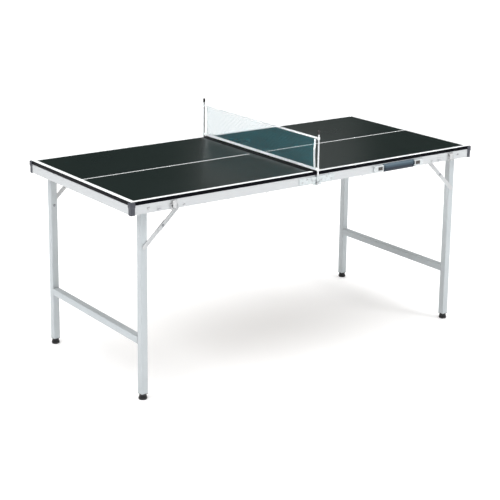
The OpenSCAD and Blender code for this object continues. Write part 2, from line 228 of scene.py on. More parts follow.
def dome(bm, centre, base, out, radius, height):
    """A low domed head on a face across Y. base is the face, and out is -1 or 1 along Y."""
    sheet = 0.25 * height
    profile = [(base, radius * 0.5), (base, radius), (base + out * sheet, radius)]
    for k in range(1, 6):
        a = math.pi / 2 * k / 5
        rise = sheet + (height - sheet) * math.sin(a)
        profile.append((base + out * rise, radius * math.cos(a) if k < 5 else 0))
    lathe(bm, profile, centre, "y", 28)


def cross_radius(angle, reach, width):
    """The outline of a cross-shaped recess, as a distance from its middle."""
    c, s = abs(math.cos(angle)), abs(math.sin(angle))
    arm_x = min(reach / max(c, 1e-6), width / max(s, 1e-6))
    arm_y = min(reach / max(s, 1e-6), width / max(c, 1e-6))
    return max(arm_x, arm_y)


def screw_head(bm, centre, base, radius, height, turn):
    """A pan head with a cross recess, below a face at the height base."""
    steps = 48

    def ring(at, radius_at):
        return [
            (centre[0] + radius_at(a) * math.cos(a + turn),
             centre[1] + radius_at(a) * math.sin(a + turn), at)
            for a in (2 * math.pi * k / steps for k in range(steps))
        ]

    top = base - height
    reach, width = radius * 0.62, radius * 0.16
    rings = [ring(base - height * rise, lambda a: radius * share)
             for rise, share in ((0, 1.0), (0.45, 1.0), (0.8, 0.93), (0.96, 0.8))]
    rings.append(ring(top, lambda a: max(radius * 0.7, cross_radius(a, reach, width) * 1.02)))
    rings.append(ring(top, lambda a: cross_radius(a, reach, width)))
    rings.append(ring(top + height * 0.7, lambda a: cross_radius(a, reach * 0.7, width * 0.8)))
    loft(bm, rings)


def finish_mesh(name, bm):
    """A mesh with outward faces, smooth where it curves and sharp at hard edges."""
    bmesh.ops.recalc_face_normals(bm, faces=bm.faces)
    mesh = bpy.data.meshes.new(name)
    bm.to_mesh(mesh)
    bm.free()
    mesh.shade_smooth()
    mesh.set_sharp_from_angle(angle=math.radians(42))
    return mesh


def add_object(name, data):
    made = bpy.data.objects.new(name, data)
    bpy.context.scene.collection.objects.link(made)
    return made


def finish_piece(name, bm, look, body, nodes):
    """A piece that rides on its body and stands for its CAD nodes."""
    piece = add_object(name, finish_mesh(name, bm))
    piece.data.materials.append(LOOKS[look])
    piece.modifiers.new("even_normals", "WEIGHTED_NORMAL").keep_sharp = True
    if body:
        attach(piece, body)
    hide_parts(*nodes)
    return piece


def add_piece(name, draw, look, body, nodes, flips=((1, 1),)):
    """Draws a piece once for each (x, y) mirror in flips, as one object."""
    whole = bmesh.new()
    for x, y in flips:
        part = bmesh.new()
        draw(part)
        bmesh.ops.scale(part, vec=(x, y, 1), verts=part.verts)
        held = bpy.data.meshes.new("held")
        part.to_mesh(held)
        part.free()
        whole.from_mesh(held)
        bpy.data.meshes.remove(held)
    return finish_piece(name, whole, look, body, nodes)


def half_piece(half, name, draw, look, node, body="table", sides=(1, -1)):
    """A piece of one half of the table, at its front (1), at its back (-1) or at both."""
    nodes = [f"{half}_{node}"] if node else []
    flips = [(HALVES[half], y) for y in sides]
    return add_piece(f"{half}_{name}", draw, look, f"{half}_{body}", nodes, flips)


def softened(node, name, look, body, edge=0.3 * MM, steps=2):
    """A CAD node's shape with its hard edges rounded, as a piece that stands for the node."""
    bm = bmesh.new()
    bm.from_mesh(frame["nodes"][node].data)
    bmesh.ops.remove_doubles(bm, verts=bm.verts, dist=0.001 * MM)
    bmesh.ops.dissolve_limit(bm, angle_limit=math.radians(1), verts=bm.verts, edges=bm.edges)
    hard = [e for e in bm.edges if e.is_manifold and e.calc_face_angle() > math.radians(40)]
    bmesh.ops.bevel(bm, geom=hard, offset=edge, segments=steps, profile=0.5, affect="EDGES",
                    clamp_overlap=True)
    return finish_piece(name, bm, look, body, [node])


# Materials. Sizes of grain are in metres, in the object's own coordinates.


def add_node(tree, kind, output, inputs, **settings):
    """A new node's output. inputs gives its sockets values, or other outputs to link."""
    made = tree.nodes.new(kind)
    for key, value in settings.items():
        setattr(made, key, value)
    for key, value in inputs.items():
        if isinstance(value, bpy.types.NodeSocket):
            tree.links.new(value, made.inputs[key])
        else:
            made.inputs[key].default_value = value
    return made.outputs[output]


def dimmed(colour, share):
    return tuple(share * c for c in colour)


class Look:
    """A material in the making, with short ways to add its nodes."""

    def __init__(self, name, metallic=0.0, specular=0.5, sheen=0.0, coat=0.0):
        self.material = bpy.data.materials.new(name)
        self.material.use_nodes = True
        self.tree = self.material.node_tree
        self.shader = self.tree.nodes["Principled BSDF"]
        for socket, value in (("Metallic", metallic), ("Specular IOR Level", specular),
                              ("Sheen Weight", sheen), ("Coat Weight", coat),
                              ("Coat Roughness", 0.3)):
            self.shader.inputs[socket].default_value = value
        self.place = self.tree.nodes.new("ShaderNodeTexCoord").outputs["Object"]

    def add(self, kind, output, inputs, **settings):
        return add_node(self.tree, kind, output, inputs, **settings)

    def scaled(self, size):
        """Coordinates in which a grain of this size is 1 long."""
        sizes = size if hasattr(size, "__len__") else (size,) * 3
        scale = [1 / s for s in sizes]
        return self.add("ShaderNodeMapping", "Vector", {"Vector": self.place, "Scale": scale})

    def noise(self, size, detail=3.0, rough=0.55, warp=0.0):
        return self.add("ShaderNodeTexNoise", "Fac", {
            "Vector": self.scaled(size), "Scale": 1.0, "Detail": detail,
            "Roughness": rough, "Distortion": warp,
        })

    def cells(self, size, output, **settings):
        return self.add("ShaderNodeTexVoronoi", output, {
            "Vector": self.scaled(size), "Scale": 1.0}, **settings)

    def cell_tone(self, size):
        """A grey that is the same over each cell and differs between cells."""
        return self.add("ShaderNodeSeparateColor", "Red", {"Color": self.cells(size, "Color")})

    def waves(self, size, axis):
        """Even ribs across an axis, this far apart."""
        return self.add("ShaderNodeTexWave", "Fac", {
            "Vector": self.scaled(size), "Scale": math.pi / 10, "Distortion": 0.0,
        }, bands_direction=axis)

    def spread(self, value, low, high, to_low=0.0, to_high=1.0):
        """value between low and high, spread out to another range."""
        return self.add("ShaderNodeMapRange", "Result", {
            "Value": value, "From Min": low, "From Max": high,
            "To Min": to_low, "To Max": to_high,
        })

    def combine(self, a, b, operation="MULTIPLY"):
        return self.add("ShaderNodeMath", 0, {0: a, 1: b}, operation=operation)

    def mix(self, factor, a, b):
        """From colour a to colour b. The node's colours are inputs 6 and 7 and output 2."""
        a, b = (c if isinstance(c, bpy.types.NodeSocket) else (*c, 1) for c in (a, b))
        return self.add("ShaderNodeMix", 2, {"Factor": factor, 6: a, 7: b}, data_type="RGBA")

    def part(self, axis):
        """Where a point is along an axis, in metres."""
        return self.add("ShaderNodeSeparateXYZ", axis, {"Vector": self.place})

    def colour(self, factor, a, b, cover=None, share=None, tone=None):
        """From a to b by factor, and then towards tone by a share where cover is high."""
        base = self.mix(factor, a, b)
        if tone:
            base = self.mix(self.combine(cover, share), base, tone)
        self.tree.links.new(base, self.shader.inputs["Base Color"])

    def roughness(self, value, low, high, smooth, rough, marks=None, added=0.0):
        """From smooth to rough as value goes from low to high, and rougher at marks."""
        result = self.spread(value, low, high, smooth, rough)
        if marks:
            result = self.combine(result, self.combine(marks, added), "ADD")
        self.tree.links.new(result, self.shader.inputs["Roughness"])

    def relief(self, *layers):
        """Bumps, each (height, depth in metres), one on the other."""
        normal = None
        for value, depth in layers:
            inputs = {"Height": value, "Strength": 1.0, "Distance": depth}
            if normal:
                inputs["Normal"] = normal
            normal = self.add("ShaderNodeBump", "Normal", inputs)
        self.tree.links.new(normal, self.shader.inputs["Normal"])


def board_paint():
    """Dark green-black satin paint, rolled on in slightly uneven coats, with a faint mottle."""
    look = Look("board_paint", specular=0.19)
    clouds = look.noise(0.35, detail=4)
    mottle = look.noise(0.006, detail=3)
    look.colour(clouds, (0.0068, 0.0128, 0.0112), (0.0098, 0.0170, 0.0155),
                mottle, 0.15, (0.013, 0.019, 0.018))
    look.roughness(clouds, 0.3, 0.7, 0.27, 0.29)
    look.relief((look.noise(0.002, detail=2), 0.000006))
    return look.material


def painted_net_shade():
    """Painted shade: matt black in a strip beside the joint, standing in for the net's shadow and the
    board reflection it blocks, with faint brush lines.
    """
    look = Look("painted_net_shade", specular=0.03)
    brush = look.noise((0.0012, 0.05, 0.01), detail=3)
    look.colour(brush, (0.0016, 0.0020, 0.0022), (0.0030, 0.0034, 0.0036))
    look.roughness(brush, 0.3, 0.7, 0.40, 0.55)
    look.relief((brush, 0.00001))
    return look.material


def line_paint():
    """White line paint, a little thin and grey in places."""
    look = Look("line_paint")
    thin = look.spread(look.noise(0.05, detail=5), 0.45, 0.75)
    look.colour(thin, (0.86, 0.88, 0.88), (0.76, 0.78, 0.78))
    look.roughness(look.noise(0.02), 0.3, 0.7, 0.42, 0.56)
    look.relief((look.noise(0.0014, detail=2), 0.00004))
    return look.material


def fibreboard():
    """The pressed fibre underside of the boards."""
    look = Look("fibreboard")
    fibres = look.noise((0.0016, 0.0007, 0.002), detail=6, rough=0.7)
    cloud = look.noise(0.05, detail=3)
    look.colour(fibres, (0.15, 0.115, 0.085), (0.27, 0.225, 0.175),
                cloud, 0.4, (0.19, 0.15, 0.115))
    look.roughness(fibres, 0.2, 0.8, 0.75, 0.95)
    look.relief((fibres, 0.00012))
    return look.material


def band_plastic():
    """Black edge band with faint lines from the extruder and small grey nicks."""
    look = Look("band_plastic", specular=0.04)
    lines = look.noise((0.3, 0.3, 0.0009), detail=3)
    nicks = look.spread(look.noise(0.009, detail=5), 0.7, 0.78)
    look.colour(lines, (0.0006, 0.0010, 0.0026), (0.0014, 0.0020, 0.0046),
                nicks, 0.3, (0.02, 0.021, 0.026))
    look.roughness(lines, 0.3, 0.7, 0.24, 0.36)
    look.relief((lines, 0.00003), (look.noise(0.0006), 0.00001))
    return look.material


def rail_aluminium(axis):
    """Satin aluminium with draw lines along the rail and fine handling marks."""
    look = Look("rail_aluminium_" + axis, metallic=0.45)
    lines = look.noise(PLACED[axis](0.0005, 0.0005, 0.5), detail=2)
    bands = look.noise(PLACED[axis](0.003, 0.003, 0.9), detail=2)
    marks = look.spread(look.noise((0.02, 0.02, 0.004), detail=6, warp=2.0), 0.69, 0.74)
    shade = 0.77
    look.colour(bands, dimmed((0.71, 0.735, 0.755), shade), dimmed((0.80, 0.82, 0.835), shade),
                marks, 0.25, (0.50, 0.52, 0.53))
    look.roughness(lines, 0.25, 0.75, 0.36, 0.5, marks, 0.15)
    look.relief((lines, 0.000012), (bands, 0.00002))
    return look.material


def corner_plastic():
    """Dark grey moulded plastic with a spark-eroded texture."""
    look = Look("corner_plastic")
    grain = look.noise(0.0007, detail=3, rough=0.6)
    cloud = look.noise(0.012)
    look.colour(cloud, (0.035, 0.038, 0.052), (0.058, 0.062, 0.08),
                grain, 0.25, (0.09, 0.095, 0.11))
    look.roughness(grain, 0.3, 0.7, 0.42, 0.6)
    look.relief((grain, 0.00006))
    return look.material


def plated_steel(name, dark, light, rough, spangle=0.004, metallic=0.9):
    """Plated sheet steel: soft crystal patches, rolling lines and pale rub marks."""
    look = Look(name, metallic=metallic)
    crystals = look.cell_tone(spangle)
    lines = look.noise((0.02, 0.02, 0.0006), detail=3)
    rubs = look.spread(look.noise(0.006, detail=5), 0.6, 0.75)
    look.colour(crystals, dark, light, rubs, 0.3, dimmed(dark, 0.5))
    look.roughness(crystals, 0, 1, rough - 0.06, rough + 0.06, rubs, 0.12)
    look.relief((lines, 0.00001), (look.noise(0.0012), 0.00001))
    return look.material


def powder_coat(name, dark, light):
    """Light grey powder coat with its fine orange peel and faint handling grime."""
    look = Look(name, metallic=0.12)
    cloud = look.noise(0.09, detail=4)
    grime = look.spread(look.noise((0.012, 0.012, 0.03), detail=6), 0.6, 0.8)
    look.colour(cloud, dark, light, grime, 0.22, dimmed(dark, 0.62))
    peel = look.noise(0.0011, detail=2)
    look.roughness(peel, 0.3, 0.7, 0.34, 0.44, grime, 0.15)
    look.relief((peel, 0.00004))
    return look.material


def foot_plastic():
    """Black foot plastic, scuffed grey where it drags on the floor."""
    look = Look("foot_plastic")
    grain = look.noise(0.0006, detail=3)
    low = look.spread(look.part("Z"), 0.008, 0.001)
    scuff = look.combine(low, look.spread(look.noise(0.003, detail=5), 0.45, 0.6))
    look.colour(grain, (0.009, 0.009, 0.010), (0.018, 0.018, 0.02),
                scuff, 0.6, (0.09, 0.088, 0.085))
    look.roughness(grain, 0.3, 0.7, 0.3, 0.42, scuff, 0.3)
    look.relief((grain, 0.00005))
    return look.material


def moulded_black():
    """Glossy black plastic of the post caps."""
    look = Look("moulded_black")
    grain = look.noise(0.0009, detail=2)
    look.colour(grain, (0.006, 0.006, 0.006), (0.016, 0.016, 0.017))
    look.roughness(grain, 0.3, 0.7, 0.2, 0.32)
    look.relief((grain, 0.00002))
    return look.material


def net_thread():
    """Twisted teal thread, a little uneven in its dye."""
    look = Look("net_thread", specular=0.2)
    twist = look.noise((0.0006, 0.0011, 0.0011), detail=2, warp=1.0)
    dye = look.noise(0.03, detail=3)
    look.colour(dye, (0.012, 0.15, 0.185), (0.022, 0.21, 0.255),
                twist, 0.4, (0.008, 0.105, 0.135))
    look.roughness(twist, 0.2, 0.8, 0.6, 0.85)
    look.relief((twist, 0.00006))
    return look.material


def woven_tape():
    """White cotton tape: crossing yarns with painted shade in the hollows between them, faint
    yellowing and soft fuzz.
    """
    look = Look("woven_tape", sheen=0.3)
    warp_yarns = look.waves(0.0008, "Y")
    weft_yarns = look.waves(0.0008, "Z")
    weave = look.combine(warp_yarns, weft_yarns)
    stain = look.noise(0.05, detail=4)
    base = look.mix(stain, (0.80, 0.84, 0.85), (0.86, 0.89, 0.90))
    # Painted shade: the colour darkens in the hollows between the crossing yarns.
    look.colour(look.spread(weave, 0.0, 0.4, 0.3, 0.0), base, (0.72, 0.77, 0.77))
    look.roughness(weave, 0, 1, 0.95, 0.8)
    look.relief((weave, 0.00006), (look.noise(0.0005), 0.00002))
    return look.material


def grip_plastic():
    """Glossy slate blue soft plastic with a fine grain, and a painted highlight that lightens its
    upper part.
    """
    look = Look("grip_plastic", specular=0.15, coat=0.12)
    pebbles = look.cells(0.0011, "Distance", feature="SMOOTH_F1")
    cloud = look.noise(0.02)
    base = look.mix(cloud, (0.008, 0.016, 0.028), (0.013, 0.024, 0.040))
    # Painted highlight: the colour gets lighter from just below the grip's middle to near its top,
    # standing in for the fill light's reflection.
    painted_highlight = look.spread(look.part("Z"), GRIP_Z - 3 * MM, GRIP_Z + 9 * MM)
    look.colour(painted_highlight, base, (0.10, 0.145, 0.18), pebbles, 0.1, (0.05, 0.075, 0.1))
    look.roughness(pebbles, 0.0, 0.8, 0.24, 0.36)
    look.relief((pebbles, 0.00004))
    return look.material


def recess_plastic_and_shade():
    """Dark brown-grey soft plastic at the bottom of the handle's recesses; its darkness is partly
    painted shade, standing in for a recess deeper than the one drawn.
    """
    look = Look("recess_plastic_and_shade")
    ribs = look.waves(0.0022, "X")
    cloud = look.noise(0.004)
    look.colour(cloud, (0.045, 0.040, 0.038), (0.085, 0.075, 0.07))
    look.roughness(ribs, 0, 1, 0.5, 0.7)
    look.relief((ribs, 0.0002), (cloud, 0.00003))
    return look.material


def weld_metal():
    """Painted-over weld bead with its ripples."""
    look = Look("weld_bead", metallic=0.2)
    ripple = look.noise(0.0012, detail=2)
    look.colour(ripple, (0.42, 0.44, 0.46), (0.60, 0.62, 0.64))
    look.roughness(ripple, 0.3, 0.7, 0.35, 0.55)
    look.relief((ripple, 0.0004))
    return look.material


LOOKS = {
    "board": board_paint(),
    "joint": painted_net_shade(),
    "line": line_paint(),
    "underside": fibreboard(),
    "band": band_plastic(),
    "rail_x": rail_aluminium("x"),
    "rail_y": rail_aluminium("y"),
    "corner": corner_plastic(),
    "hinge": plated_steel("hinge_steel", (0.50, 0.54, 0.55), (0.61, 0.65, 0.66), 0.34),
    "fastener": plated_steel("fastener_steel", (0.42, 0.43, 0.44), (0.58, 0.59, 0.6), 0.3, 0.002),
    "stud": plated_steel("stud_steel", (0.24, 0.25, 0.27), (0.36, 0.37, 0.39), 0.34, 0.002),
    "latch": plated_steel("latch_steel", (0.46, 0.465, 0.47), (0.58, 0.585, 0.59), 0.3, 0.003),
    "catch": plated_steel("catch_steel", (0.50, 0.51, 0.53), (0.62, 0.63, 0.65), 0.36, 0.002, 0.6),
    "post": plated_steel("post_steel", (0.60, 0.62, 0.63), (0.70, 0.72, 0.73), 0.18, 0.003),
    "cap": plated_steel("handle_cap_steel", (0.55, 0.58, 0.59), (0.65, 0.68, 0.69), 0.36, 0.004, 0.4),
    "leg": powder_coat("leg_coat", (0.475, 0.515, 0.535), (0.545, 0.585, 0.605)),
    "brace": powder_coat("brace_coat", (0.50, 0.515, 0.525), (0.60, 0.61, 0.62)),
    "foot": foot_plastic(),
    "post_cap": moulded_black(),
    "thread": net_thread(),
    "tape": woven_tape(),
    "grip": grip_plastic(),
    "inset": recess_plastic_and_shade(),
    "weld": weld_metal(),
}

# Half tops

LINE_W = 16.2 * MM
LINE_T = 0.12 * MM
LINE_MARGIN = 1.8 * MM
LINE_TO_JOINT = 12 * MM
CENTRE_LINE_W = 5 * MM
CENTRE_LINE_TO_JOINT = 37 * MM
# Width of the strip of painted shade beside the joint, where the net's shadow falls.
NET_SHADE_STRIP = 26 * MM


def draw_board(bm):
    outline = rounded(rectangle(board_low.xy, board_high.xy), 0.5 * MM)
    prism(bm, outline, board_low.z, board_high.z, edge=0.4 * MM)
    bmesh.ops.bisect_plane(bm, geom=bm.verts[:] + bm.edges[:] + bm.faces[:],
                           plane_co=(-NET_SHADE_STRIP, 0, 0), plane_no=(1, 0, 0))


def board_piece(half):
    """One half's board: painted above, with a strip of painted shade beside the joint, and bare fibre
    below.
    """
    piece = half_piece(half, "top_board", draw_board, "board", "board", sides=[1])
    piece.data.materials.append(LOOKS["underside"])
    # Faces beside the joint get the painted shade of the net.
    piece.data.materials.append(LOOKS["joint"])
    for face in piece.data.polygons:
        if face.normal.z < -0.9:
            face.material_index = 1
        elif abs(face.center.x) < NET_SHADE_STRIP:
            face.material_index = 2


def draw_lines(bm):
    """The white lines: three edges of the half in one stroke, and the middle line."""
    x1, x2 = END_X + LINE_MARGIN, -LINE_TO_JOINT
    y1, y2 = FRONT_Y + LINE_MARGIN, FRONT_Y + LINE_W
    edges = [(x2, y1), (x1, y1), (x1, -y1), (x2, -y1), (x2, -y2), (x1 + LINE_W, -y2),
             (x1 + LINE_W, y2), (x2, y2)]
    end = 0.42 * (LINE_W - LINE_MARGIN)
    middle = rectangle((x1 + LINE_W, -CENTRE_LINE_W / 2),
                       (-CENTRE_LINE_TO_JOINT, CENTRE_LINE_W / 2))
    for corners, radii in ((edges, [end, 1 * MM, 1 * MM, end, end, 0.6 * MM, 0.6 * MM, end]),
                           (middle, [0, 2.4 * MM, 2.4 * MM, 0])):
        prism(bm, rounded(corners, radii, 6), TOP_Z, TOP_Z + LINE_T, edge=0.05 * MM)


def draw_band(bm):
    """A mitred frame: one rounded section carried round the four corners."""
    section = rounded([(0, BAND_Z), (0, TOP_Z), (BAND_T, TOP_Z), (BAND_T, BAND_Z)],
                      [0.7 * MM, LINE_MARGIN, 0, 0], 6)
    corners = [(END_X, FRONT_Y, 1, 1), (JOINT_X, FRONT_Y, -1, 1),
               (JOINT_X, -FRONT_Y, -1, -1), (END_X, -FRONT_Y, 1, -1)]
    loft(bm, [[(x + dx * p.x, y + dy * p.x, p.y) for p in section] for x, y, dx, dy in corners],
         closed=True)


# Rails
RAIL_H = BAND_Z - FOLD_Z
RAIL_T = 1.5 * MM
RAIL_TOP_FLANGE = 16 * MM
RAIL_BOTTOM_FLANGE = 8 * MM
RAIL_REACH = -FRONT_Y - RAIL_T
CENTRE_FLANGE = 12 * MM
BEAD_OUT = 0.8 * MM
BEAD_LEAST = 0.02 * MM
BEAD_H = 2.5 * MM
CAP_ARM = 14 * MM
LEAF_END = 12 * MM


def rail_section(top, bead):
    """A rail's outline as (depth from the outer face, height). top is its top flange's width."""
    t, h, bottom = RAIL_T, RAIL_H, RAIL_BOTTOM_FLANGE
    corners = [
        (0, 0), (bottom, 0), (bottom, t), (t, t), (t, h - t), (top, h - t), (top, h),
        (-bead, h), (-bead, h - BEAD_H), (0, h - BEAD_H),
    ]
    small, bend, nose = 0.35 * MM, 0.8 * MM, min(bead, 0.7 * MM)
    return rounded(corners, [small] * 3 + [bend] * 2 + [small] * 2 + [nose] * 2 + [0], 3)


def rail_stations(start, end, bead_start, bead_end):
    """(place, bead) along a rail, with the bead fading in and out."""
    fade = 1 * MM
    return [
        (start, BEAD_LEAST), (bead_start, BEAD_LEAST), (bead_start + fade, BEAD_OUT),
        (bead_end - fade, BEAD_OUT), (bead_end, BEAD_LEAST), (end, BEAD_LEAST),
    ]


def draw_side_rail(bm):
    stations = rail_stations(END_X, JOINT_X, END_X + CAP_ARM + MM, -LEAF_END)
    loft(bm, [[(x, FRONT_Y + p.x, FOLD_Z + p.y) for p in rail_section(RAIL_TOP_FLANGE, bead)]
              for x, bead in stations])


def draw_end_rail(bm):
    bead_reach = -FRONT_Y - CAP_ARM - MM
    stations = rail_stations(-RAIL_REACH, RAIL_REACH, -bead_reach, bead_reach)
    loft(bm, [[(END_X + p.x, y, FOLD_Z + p.y) for p in rail_section(RAIL_TOP_FLANGE, bead)]
              for y, bead in stations])


def draw_centre_rail(bm):
    outline = [(JOINT_X - p.x, FOLD_Z + p.y) for p in rail_section(CENTRE_FLANGE, BEAD_LEAST)]
    prism(bm, outline, -RAIL_REACH, RAIL_REACH, "y", edge=0.1 * MM)


# Corner caps
CAP_THIN = 1.8 * MM
CAP_BULGE = 4 * MM
CAP_ROUND = 2 * MM


def cap_outline(out):
    """A corner cap's plan: an L that stands out from the rails and rounds the corner."""
    inside = 0.05 * MM
    corners = [(CAP_ARM, -out), (-out, -out), (-out, CAP_ARM), (inside, CAP_ARM),
               (inside, inside), (CAP_ARM, inside)]
    ends = min(0.8 * MM, out * 0.45)
    return rounded(corners, [ends, out + CAP_ROUND, ends, 0, 0, 0], 8)


def draw_corner_cap(bm):
    """An L that swells out beside the board and has a rounded rim, with a plate under it."""
    bottom, top, rim = FOLD_Z - 1.2 * MM, TOP_Z - 1 * MM, 3.2 * MM
    swell, swell_h = BAND_Z - 6 * MM, 9 * MM
    levels = [(bottom, CAP_THIN - 0.7 * MM), (bottom + 0.3 * MM, CAP_THIN - 0.2 * MM),
              (bottom + 0.8 * MM, CAP_THIN), (swell - 6 * MM, CAP_THIN)]
    for k in range(1, 9):
        share = k / 8
        eased = share * share * (3 - 2 * share)
        levels.append((swell + (share - 0.6) * swell_h, CAP_THIN + (CAP_BULGE - CAP_THIN) * eased))
    for k in range(6):
        a = math.pi / 2 * k / 5
        levels.append((top - rim * (1 - math.sin(a)), CAP_BULGE - rim * (1 - math.cos(a))))
    loft(bm, [[(END_X + p.x, FRONT_Y + p.y, z) for p in cap_outline(out)] for z, out in levels])
    corners = [(CAP_ARM, -CAP_THIN), (-CAP_THIN, -CAP_THIN), (-CAP_THIN, CAP_ARM),
               (CAP_ARM, CAP_ARM)]
    plate = rounded(corners, [0.8 * MM, CAP_THIN + CAP_ROUND, 0.8 * MM, CAP_ROUND], 8)
    prism(bm, [(END_X + p.x, FRONT_Y + p.y) for p in plate], bottom, FOLD_Z, edge=0.5 * MM)


# Screws and rivets
SCREWS_FROM_JOINT = {"left": [213, 371, 468, 665], "right": [213, 525, 665]}
SCREW_IN = 4 * MM
END_SCREW_Y = 300 * MM
SCREW_R = 3.2 * MM
BOLT_R = 3 * MM
RIVET_R = 3.4 * MM


def draw_screws(bm, from_joint):
    """Screws up through the bottom flanges of the side rail and the end rail."""
    side_y, end_x = FRONT_Y + SCREW_IN, END_X + SCREW_IN
    for i, at in enumerate([(-x * MM, side_y) for x in from_joint] + [(end_x, -END_SCREW_Y)]):
        screw_head(bm, at, FOLD_Z, SCREW_R, 2.6 * MM, 0.4 + 1.1 * i)
        lathe(bm, [(FOLD_Z, 1.6 * MM), (FOLD_Z + 5 * MM, 1.6 * MM), (FOLD_Z + 6 * MM, 0.4 * MM)],
              at, steps=16)


LEAF_RIVETS = [(44, 20), (64, 10), (20, 12)]
LEAF_Y = FRONT_Y - 2.4 * MM


def draw_leaf_rivets(bm):
    for x, z in LEAF_RIVETS:
        dome(bm, (-x * MM, FOLD_Z + z * MM), LEAF_Y, -1, RIVET_R, 1.4 * MM)


def draw_hinge_pin(bm):
    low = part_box("hinge_pins")[0].y
    profile = [(FRONT_Y - 0.4 * MM, 3.4 * MM), (low + 2 * MM, 3.5 * MM), (low + 2 * MM, 5.5 * MM),
               (low + 1.2 * MM, 5.5 * MM), (low + 0.5 * MM, 5.0 * MM), (low + 0.1 * MM, 3.8 * MM),
               (low, 2.2 * MM), (low + 0.5 * MM, 1.6 * MM), (low + 0.6 * MM, 0)]
    lathe(bm, profile, (0, FOLD_Z), "y")


def nut(bm, centre, low, high, across):
    """A hexagon nut with chamfered corners."""
    hexagon = circle(centre, across / math.sqrt(3), 6)
    prism(bm, rounded(hexagon, 0.4 * MM), low, high, "y", edge=0.6 * MM)


def draw_pivot_bolts(bm):
    """A leg pivot bolt with its nut, and a brace pivot on the rail."""
    leg_at = (LEG_X, pivot("left_legs_fold").z)
    inner = LEG_Y + TUBE / 2
    dome(bm, leg_at, FRONT_Y, -1, 5.5 * MM, 2.2 * MM)
    lathe(bm, [(FRONT_Y, BOLT_R), (inner + 5.6 * MM, BOLT_R), (inner + 6 * MM, 2.5 * MM)],
          leg_at, "y")
    nut(bm, leg_at, inner + 0.4 * MM, inner + 5 * MM, 9.4 * MM)
    dome(bm, BRACE_TOP, FRONT_Y, -1, 4.5 * MM, 1.8 * MM)
    lathe(bm, [(FRONT_Y, BOLT_R), (KNEE_FACE + LINK_T, BOLT_R)], BRACE_TOP, "y")


# Leg frames


def square(centre, side, radius, steps=5):
    u, v = centre
    s = side / 2
    return rounded(rectangle((u - s, v - s), (u + s, v + s)), radius, steps)


def draw_tube(bm, at, low, high, axis, edge):
    """A square tube with its bore, between low and high along an axis."""
    inner = square(at, TUBE - 2 * TUBE_WALL, 0.9 * MM)
    bore = [[PLACED[axis](p.x, p.y, t) for p in inner] for t in (high, low)]
    loft(bm, end_rings(square(at, TUBE, 2.4 * MM), low, high, axis, edge) + bore, closed=True)


def draw_leg(bm):
    draw_tube(bm, (LEG_X, LEG_Y), leg_low.z, leg_high.z, "z", 0.3 * MM)


def draw_crossbar(bm):
    reach = -LEG_Y - TUBE / 2
    draw_tube(bm, (LEG_X, CROSSBAR_Z), -reach, reach, "y", 0.1 * MM)


def draw_weld(bm):
    """A weld bead round the end of the crossbar, uneven as a hand lays it."""
    spread = random.Random(4)
    y, bead_r, step = LEG_Y + TUBE / 2 + 0.7 * MM, 1.3 * MM, 1.6 * MM
    path = [Vector((p.x, y + spread.uniform(-0.25, 0.25) * MM, p.y))
            for p in square((LEG_X, CROSSBAR_Z), TUBE - 0.4 * MM, 3 * MM, 6)]
    dense = []
    for a, b in zip(path, path[1:] + path[:1]):
        pieces = max(1, round((b - a).length / step))
        dense += [a.lerp(b, k / pieces) for k in range(pieces)]
    dense = [p + Vector((0, spread.uniform(-0.12, 0.12) * MM, 0)) for p in dense]
    sweep(bm, dense, bead_r, 8, closed=True)


def draw_foot(bm):
    """A turned foot with a square flange under the tube and tread rings underneath."""
    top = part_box("left_feet")[1].z
    flange = leg_low.z - 1.5 * MM
    profile = [
        (1.2 * MM, 0), (1.2 * MM, 4 * MM), (0.3 * MM, 4.4 * MM), (0, 5 * MM), (0, 7 * MM),
        (0.3 * MM, 7.6 * MM), (1.1 * MM, 8 * MM), (0.3 * MM, 8.4 * MM), (0, 9 * MM),
        (0, 11.6 * MM), (0.4 * MM, 13 * MM), (1.5 * MM, 14.2 * MM), (3 * MM, 14.8 * MM),
        (4.6 * MM, 15 * MM), (6.4 * MM, 14.7 * MM), (8.4 * MM, 14.1 * MM), (10.6 * MM, 13.2 * MM),
        (13 * MM, 12.4 * MM), (15.4 * MM, 12 * MM), (flange - 0.8 * MM, 12 * MM),
        (flange + 0.3 * MM, 12.6 * MM), (flange + 0.5 * MM, 0),
    ]
    lathe(bm, profile, (LEG_X, LEG_Y), "z", 40)
    prism(bm, square((LEG_X, LEG_Y), TUBE, 0.9 * MM), flange, leg_low.z, edge=0.35 * MM)
    plug = TUBE - 2 * TUBE_WALL - 0.2 * MM
    prism(bm, square((LEG_X, LEG_Y), plug, 1 * MM), leg_low.z - MM, top, edge=0.6 * MM)


def draw_stud(bm):
    """A stud through the leg that carries the lower brace link."""
    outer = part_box("left_brace_studs")[0].y
    inner = LEG_Y + TUBE / 2
    at = (LEG_X, BRACE_FOOT.y)
    dome(bm, at, outer + 0.8 * MM, -1, RIVET_R, 0.8 * MM)
    lathe(bm, [(outer + 0.6 * MM, BOLT_R), (inner, BOLT_R)], at, "y")
    dome(bm, at, inner, 1, 5 * MM, 2 * MM)


# Braces

LINK_W = 15 * MM
LINK_T = 2.5 * MM
LINK_LAP = 14 * MM


def strip_section(w, groove):
    """A strip's outline, w to each side of its middle, with a groove down the outer face."""
    edge = min(0.5 * MM, w * 0.3)
    if groove > 0:
        brim, floor, depth, soft = 2.4 * MM, 1 * MM, groove, 0.3 * MM
    else:
        brim, floor, depth, soft = w * 0.6, w * 0.3, 0.002 * MM, min(0.05 * MM, edge * 0.1)
    corners = [(-w, 0), (-brim, 0), (-floor, depth), (floor, depth), (brim, 0), (w, 0),
               (w, LINK_T), (-w, LINK_T)]
    return rounded(corners, [edge] + [soft] * 4 + [edge] * 3, 3)


